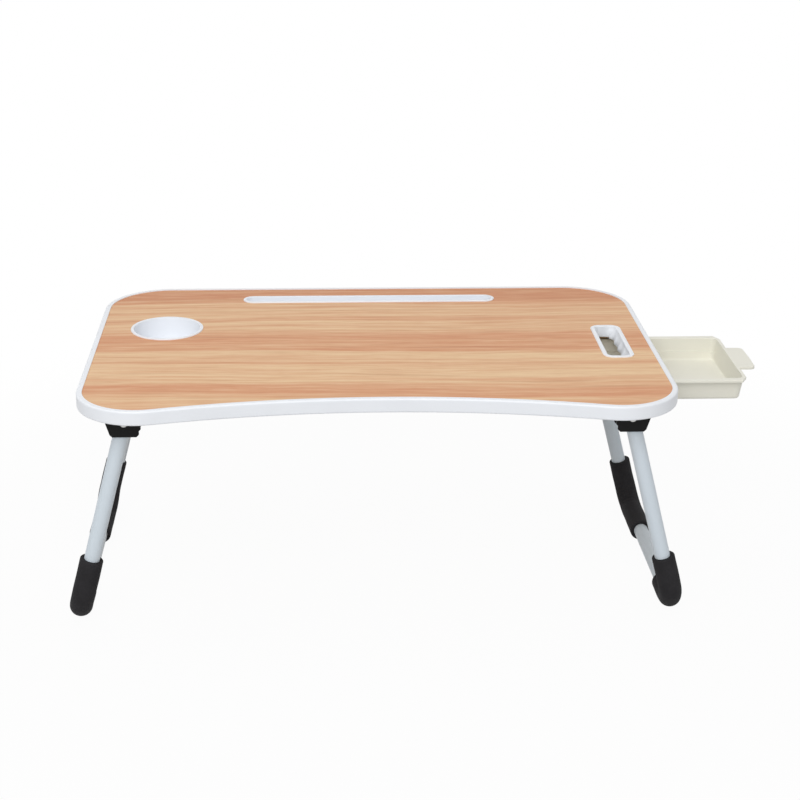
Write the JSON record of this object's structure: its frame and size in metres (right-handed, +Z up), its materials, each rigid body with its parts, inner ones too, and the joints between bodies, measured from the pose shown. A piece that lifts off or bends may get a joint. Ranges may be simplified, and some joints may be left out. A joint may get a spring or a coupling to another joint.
{
  "type": "folding laptop table",
  "caption": "Low folding laptop table with a hollow front edge, cup holder, tablet slot, hand grip, side drawer and fold-in tube legs with foam sleeves.",
  "frame": {"origin": "on the floor under the middle of the open table's box, drawer pulled out as pictured", "axes": "+X along the table's length towards the drawer side, +Y from the hollow front edge to the back, +Z up"},
  "size_m": [0.7306, 0.3999, 0.2563],
  "materials": {
    "wood_laminate": "satin light wood-grain laminate",
    "fibreboard": "raw fibreboard",
    "backing_sheet": "plain brown backing paper",
    "white_plastic": "white moulded plastic, half gloss",
    "black_plastic": "black moulded plastic",
    "painted_tube": "light grey powder coat",
    "foam": "charcoal foam",
    "ivory_plastic": "ivory moulded plastic, half gloss",
    "rail_plastic": "white moulded plastic",
    "plated_steel": "bright zinc plate"
  },
  "bodies": {
    "table_top": {"board_core": "fibreboard", "top_laminate": "wood_laminate", "underside_sheet": "backing_sheet", "edge_band": "white_plastic", "cup_holder": "white_plastic", "tablet_slot": "white_plastic", "hand_grip": "white_plastic", "hinge_bracket_front_left": "black_plastic", "hinge_bracket_rear_left": "black_plastic", "hinge_bracket_front_right": "black_plastic", "hinge_bracket_rear_right": "black_plastic", "pivot_pin_front_left": "plated_steel", "pivot_pin_rear_left": "plated_steel", "pivot_pin_front_right": "plated_steel", "pivot_pin_rear_right": "plated_steel", "drawer_rail_front": "rail_plastic", "drawer_rail_rear": "rail_plastic", "bracket_screws": "plated_steel", "rail_screws": "plated_steel"},
    "left_leg": {"leg_tube_left": "painted_tube", "foot_sleeve_front_left": "foam", "foot_sleeve_rear_left": "foam"},
    "right_leg": {"leg_tube_right": "painted_tube", "foot_sleeve_front_right": "foam", "foot_sleeve_rear_right": "foam"},
    "drawer": {"drawer_tray": "ivory_plastic"}
  },
  "joints": [
    {"name": "left_leg_fold", "type": "hinge", "parent": "table_top", "child": "left_leg", "pos_m": [-0.29529, -0.0125, 0.22927], "axis": [0, -1, 0], "range_deg": [0, 103.4]},
    {"name": "right_leg_fold", "type": "hinge", "parent": "table_top", "child": "right_leg", "pos_m": [0.20922, -0.0125, 0.22927], "axis": [0, 1, 0], "range_deg": [0, 103.4]},
    {"name": "drawer_slide", "type": "slide", "parent": "table_top", "child": "drawer", "axis": [1, 0, 0], "range_m": [-0.0902, 0.06]}
  ]
}
